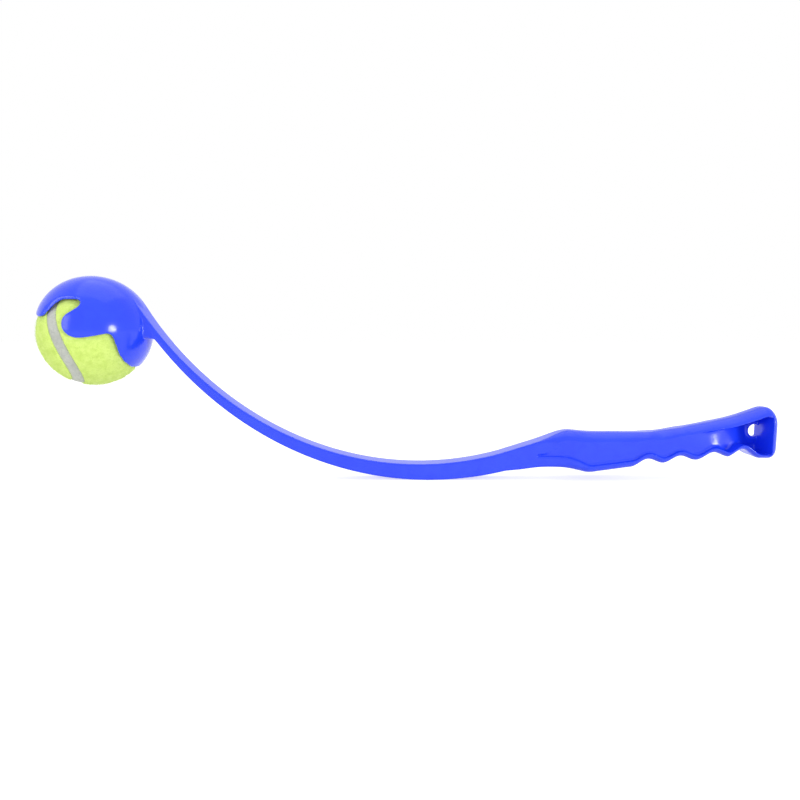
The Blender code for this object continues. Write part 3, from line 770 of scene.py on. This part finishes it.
# A fibre of the fuzz leans over, rises by a share of its length and curls to one side. Its bend and
# its tip are in shares of its length, of its rise and of its thickness. It takes only a share of the
# room that it has to slide past the cup's mouth. The least swing keeps that room from growing
# without end towards the way out.
FUZZ_COUNT = 5200
FUZZ_LENGTH = (0.0007, 0.0017)
FUZZ_WIDTH = 0.00007
FUZZ_RISE_SHARES = (0.15, 0.6)
FUZZ_CURL_SHARE = 0.6
FUZZ_BEND_SHARES = (0.4, 1.0, 0.8)
FUZZ_TIP_SHARES = (0.8, 0.7, 0.35)
FUZZ_ROOM_SHARE = 0.8
LEAST_SWING = 0.5


def seam_direction(turn):
    """Return the direction from the ball's centre to its seam, for a turn of 0 to 2 pi."""
    wide = 1.0 - SEAM_BEND_SHARE
    x = wide * math.cos(turn) + SEAM_BEND_SHARE * math.cos(3.0 * turn)
    y = wide * math.sin(turn) - SEAM_BEND_SHARE * math.sin(3.0 * turn)
    z = 2.0 * math.sqrt(wide * SEAM_BEND_SHARE) * math.sin(2.0 * turn)
    return (SEAM_TURN @ Vector((x, y, z))).normalized()


def seam_shape(name, corners):
    """Make a closed band along the seam, from the radius and the side step of its corners."""
    def place(step_round, step_along):
        turn = 2.0 * math.pi * step_along / SEAM_STEPS
        out = seam_direction(turn)
        ahead = seam_direction(turn + math.pi / SEAM_STEPS)
        behind = seam_direction(turn - math.pi / SEAM_STEPS)
        side = out.cross(ahead - behind).normalized()
        radius, step = corners[step_round]
        return BALL_CENTRE + out * math.sqrt(radius ** 2 - step ** 2) + side * step
    return wrapped_shape(name, len(corners), SEAM_STEPS, place)


felt_inner = BALL_RADIUS - FELT_THICKNESS
felt_shell = ball_shape("felt_shell", BALL_CENTRE, BALL_RADIUS)
felt_hollow = ball_shape("felt_hollow", BALL_CENTRE, felt_inner)
half_seam = SEAM_WIDTH / 2.0
seam_cut = seam_shape("seam_cut", (
    (felt_inner - FELT_THICKNESS, -half_seam), (BALL_RADIUS + FELT_THICKNESS, -half_seam),
    (BALL_RADIUS + FELT_THICKNESS, half_seam), (felt_inner - FELT_THICKNESS, half_seam),
))
finish_shape(felt_shell, [("DIFFERENCE", felt_hollow), ("DIFFERENCE", seam_cut)],
             FELT_PITCH, FELT_EASING, FELT_SHARE)


def islands(source):
    """Split an object's mesh into its separate closed parts, as one bmesh each."""
    bm = bmesh.new()
    bm.from_mesh(source.data)
    parts = []
    done = set()
    for first in bm.verts:
        if first.index in done:
            continue
        keep = {first.index}
        front = [first]
        while front:
            near = [edge.other_vert(vert) for vert in front for edge in vert.link_edges]
            front = []
            for vert in near:
                if vert.index not in keep:
                    keep.add(vert.index)
                    front.append(vert)
        done |= keep
        part = bm.copy()
        gone = [vert for vert in part.verts if vert.index not in keep]
        bmesh.ops.delete(part, geom=gone, context="VERTS")
        parts.append(part)
    bm.free()
    bpy.data.objects.remove(source, do_unlink=True)
    return parts


def headroom(out):
    """Return how far the felt may stand up in a direction before it meets the cup's claws."""
    swing = max(out.cross(EXIT).length, LEAST_SWING)
    return (BALL_RADIUS + CUP_GAP) / swing - BALL_RADIUS


def soft_noise(way, size):
    """Return smooth noise between 0 and 1, whose bumps have about the given size."""
    return noise.noise(way / size) * 0.5 + 0.5


def rough_felt(bm):
    """Press soft lumps and small tufts into the outside of a felt panel."""
    for vert in bm.verts:
        way = vert.co - BALL_CENTRE
        if way.length > felt_inner + FELT_THICKNESS / 2.0:
            sunk = soft_noise(way, LUMP_SIZE) * LUMP_HEIGHT + soft_noise(way, TUFT_SIZE) * TUFT_HEIGHT
            vert.co -= way.normalized() * sunk


def add_fuzz(bm, seed):
    """Raise short curled fibres from the outside of a felt panel and join them to it."""
    chance = random.Random(seed)
    bm.faces.ensure_lookup_table()
    outer = [face for face in bm.faces
             if (face.calc_center_median() - BALL_CENTRE).length > felt_inner + FELT_THICKNESS / 2.0]
    curve = bpy.data.curves.new("fuzz", "CURVE")
    curve.dimensions = "3D"
    curve.bevel_depth = FUZZ_WIDTH / 2.0
    curve.bevel_resolution = 0
    bend_lean, bend_rise, bend_thickness = FUZZ_BEND_SHARES
    tip_lean, tip_rise, tip_thickness = FUZZ_TIP_SHARES
    for face in chance.choices(outer, weights=[face.calc_area() for face in outer], k=FUZZ_COUNT):
        root = face.calc_center_median()
        out = (root - BALL_CENTRE).normalized()
        lean = Vector([chance.uniform(-1.0, 1.0) for _ in range(3)])
        lean = (lean - out * lean.dot(out)).normalized()
        curl = out.cross(lean) * chance.uniform(-FUZZ_CURL_SHARE, FUZZ_CURL_SHARE)
        length = chance.uniform(*FUZZ_LENGTH)
        rise = min(length * chance.uniform(*FUZZ_RISE_SHARES), headroom(out) * FUZZ_ROOM_SHARE)
        bend = root + lean * length * bend_lean + out * rise * bend_rise
        tip = root + (lean * tip_lean + curl) * length + out * rise * tip_rise
        spots = ((root - out * FUZZ_WIDTH, 1.0), (bend, bend_thickness), (tip, tip_thickness))
        spline = curve.splines.new("POLY")
        spline.points.add(len(spots) - 1)
        for point, (spot, thickness) in zip(spline.points, spots):
            point.co = spot.to_4d()
            point.radius = thickness
    fuzz = bpy.data.objects.new("fuzz", curve)
    bpy.context.scene.collection.objects.link(fuzz)
    graph = bpy.context.evaluated_depsgraph_get()
    mesh = bpy.data.meshes.new_from_object(fuzz.evaluated_get(graph))
    bm.from_mesh(mesh)
    bpy.data.meshes.remove(mesh)
    bpy.data.objects.remove(fuzz, do_unlink=True)
    bpy.data.curves.remove(curve)


FELT_LIGHT = (0.77, 0.97, 0.25, 1.0)
FELT_DARK = (0.62, 0.83, 0.16, 1.0)
FELT_SCALES = (260.0, 1100.0)
FELT_ROUGHNESS = 0.95
FELT_NAP_DEPTH = 0.0005
FELT_NAP_STRENGTH = 0.6
FELT_SPECULAR = 0.15
FELT_SHEEN = 0.25
FELT_SHEEN_ROUGHNESS = 0.6
FELT_SHEEN_TINT = (0.95, 1.0, 0.6, 1.0)

felt, _, shader, _ = mottled_material(
    "yellow_felt", FELT_SCALES, FELT_DARK, FELT_LIGHT, FELT_ROUGHNESS, FELT_NAP_DEPTH,
    FELT_NAP_STRENGTH
)
shader.inputs["Specular IOR Level"].default_value = FELT_SPECULAR
shader.inputs["Sheen Weight"].default_value = FELT_SHEEN
shader.inputs["Sheen Roughness"].default_value = FELT_SHEEN_ROUGHNESS
shader.inputs["Sheen Tint"].default_value = FELT_SHEEN_TINT


def from_node(part, node):
    """Return how far a part's middle is from the middle of a node of the frame."""
    part_middle = sum((vert.co for vert in part.verts), Vector()) / len(part.verts)
    return (part_middle - sum(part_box(node), Vector()) / 2.0).length


felt_parts = islands(felt_shell)
for seed, node in enumerate(("ball_felt_panel_a", "ball_felt_panel_b")):
    part = min(felt_parts, key=lambda other: from_node(other, node))
    felt_parts.remove(part)
    rough_felt(part)
    add_fuzz(part, seed)
    panel = shape(node.replace("ball_felt_panel", "felt_cover"), part)
    panel.data.shade_smooth()
    panel.data.materials.clear()
    panel.data.materials.append(felt)
    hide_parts(node)
    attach(panel, "ball")


# The seam: the rubber cement between the two panels. It is poured into the gap and cures with a
# low, soft crown just under the felt, and its sides run up against the felt's rolled edges.

SEAM_RECESS = 0.0005
SEAM_SIDE_RECESS = 0.0010
SEAM_OVERLAP = 0.0003
SEAM_FOOT_GAP = 0.0004
SEAM_CROWN_STEPS = 8

seam_corners = [(felt_inner + SEAM_FOOT_GAP, -half_seam), (felt_inner + SEAM_FOOT_GAP, half_seam)]
for index in range(SEAM_CROWN_STEPS + 1):
    share = 1.0 - 2.0 * index / SEAM_CROWN_STEPS
    fall = SEAM_RECESS + (SEAM_SIDE_RECESS - SEAM_RECESS) * share ** 2
    seam_corners.append((BALL_RADIUS - fall, share * (half_seam + SEAM_OVERLAP)))
seam = seam_shape("seam_band", seam_corners)
seam.data.shade_smooth()

CEMENT_DARK = (0.42, 0.44, 0.40, 1.0)
CEMENT_LIGHT = (0.58, 0.60, 0.54, 1.0)
CEMENT_SCALES = (90.0, 500.0)
CEMENT_ROUGHNESS = 0.6
CEMENT_RIPPLE_DEPTH = 0.0003
CEMENT_RIPPLE_STRENGTH = 0.5

cement, *_ = mottled_material(
    "seam_cement", CEMENT_SCALES, CEMENT_DARK, CEMENT_LIGHT, CEMENT_ROUGHNESS, CEMENT_RIPPLE_DEPTH,
    CEMENT_RIPPLE_STRENGTH
)
seam.data.materials.clear()
seam.data.materials.append(cement)
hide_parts("ball_seam_cement")
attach(seam, "ball")
